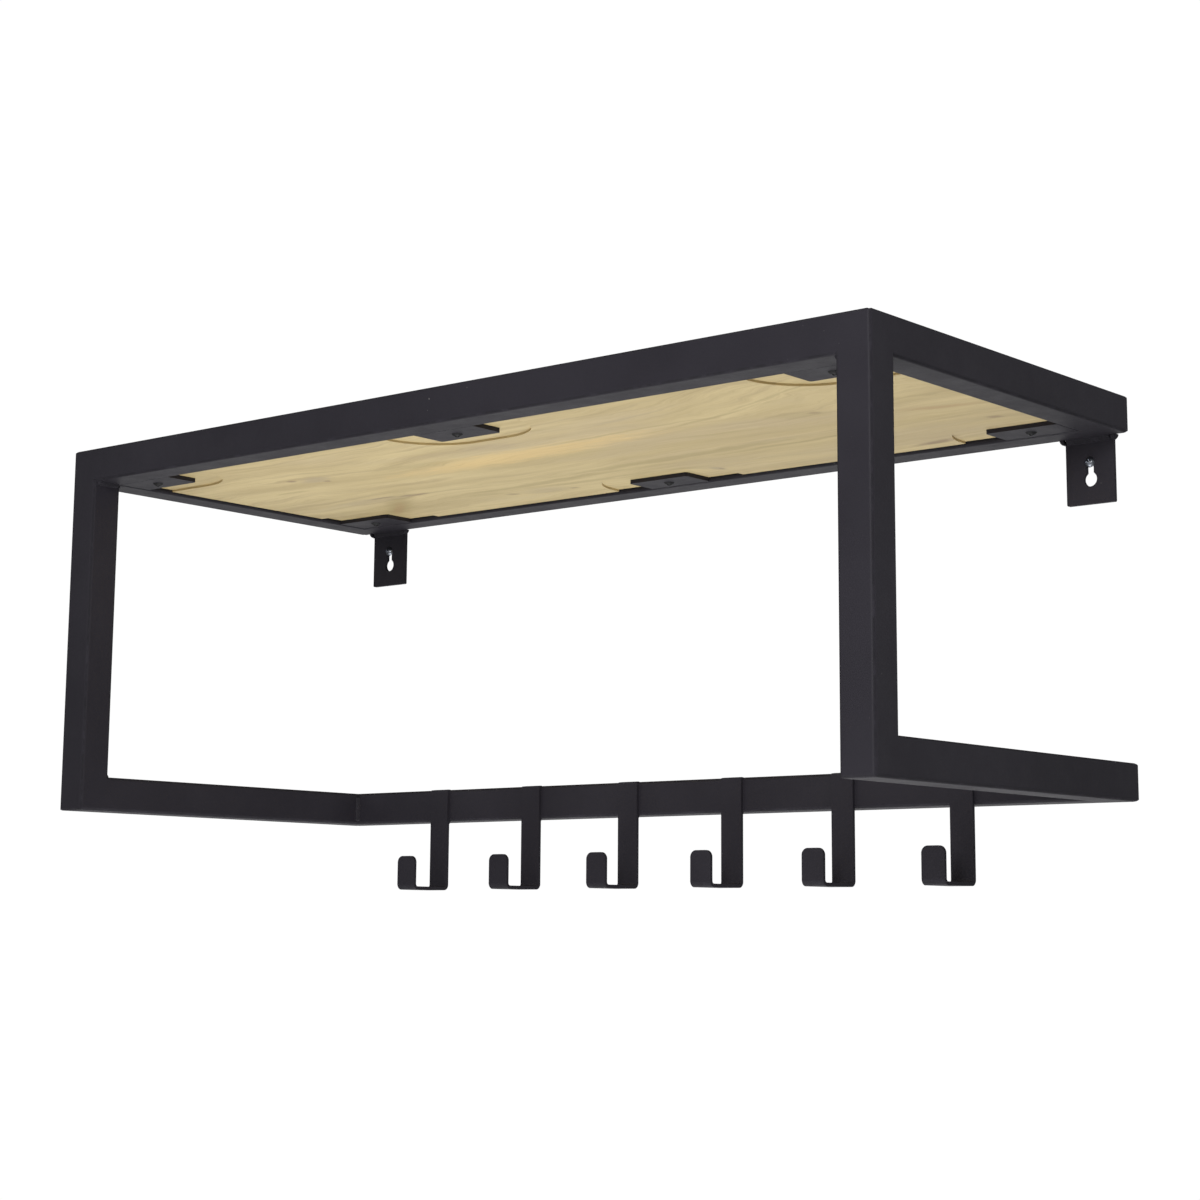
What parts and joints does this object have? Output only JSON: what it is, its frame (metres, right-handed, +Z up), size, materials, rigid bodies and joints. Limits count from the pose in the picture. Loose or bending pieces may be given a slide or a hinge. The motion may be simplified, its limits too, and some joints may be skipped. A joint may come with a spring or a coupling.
{
  "type": "wall coat rack with hat shelf",
  "caption": "Wall coat rack of black square steel tube with a light wooden hat shelf and a lower bar carrying flat steel coat hooks.",
  "frame": {"origin": "on the wall plane, midway between the round holes of the two keyholes", "axes": "+X to the right along the hook bar, +Y into the wall, +Z up"},
  "size_m": [0.72, 0.33, 0.324],
  "materials": {
    "black_powder_coat": "fine-textured satin charcoal-black powder coat on steel",
    "board_wood": "light hardwood, clear matt oil, brown flecks and wavy grain along the length",
    "black_screw": "black-coated pan-head wood screws",
    "zinc_screw": "bright zinc-plated pan-head screws"
  },
  "bodies": {
    "root": {"front_rail": "black_powder_coat", "back_rail": "black_powder_coat", "left_rail": "black_powder_coat", "right_rail": "black_powder_coat", "left_post": "black_powder_coat", "right_post": "black_powder_coat", "left_arm": "black_powder_coat", "right_arm": "black_powder_coat", "hook_bar": "black_powder_coat", "shelf_board": "board_wood", "front_left_tab": "black_powder_coat", "front_middle_tab": "black_powder_coat", "front_right_tab": "black_powder_coat", "back_left_tab": "black_powder_coat", "back_middle_tab": "black_powder_coat", "back_right_tab": "black_powder_coat", "shelf_screws": "black_screw", "left_wall_plate": "black_powder_coat", "right_wall_plate": "black_powder_coat", "wall_screws": "zinc_screw", "hook_1": "black_powder_coat", "hook_2": "black_powder_coat", "hook_3": "black_powder_coat", "hook_4": "black_powder_coat", "hook_5": "black_powder_coat", "hook_6": "black_powder_coat", "corner_welds": "black_powder_coat", "plate_welds": "black_powder_coat", "hook_welds": "black_powder_coat"}
  },
  "joints": []
}
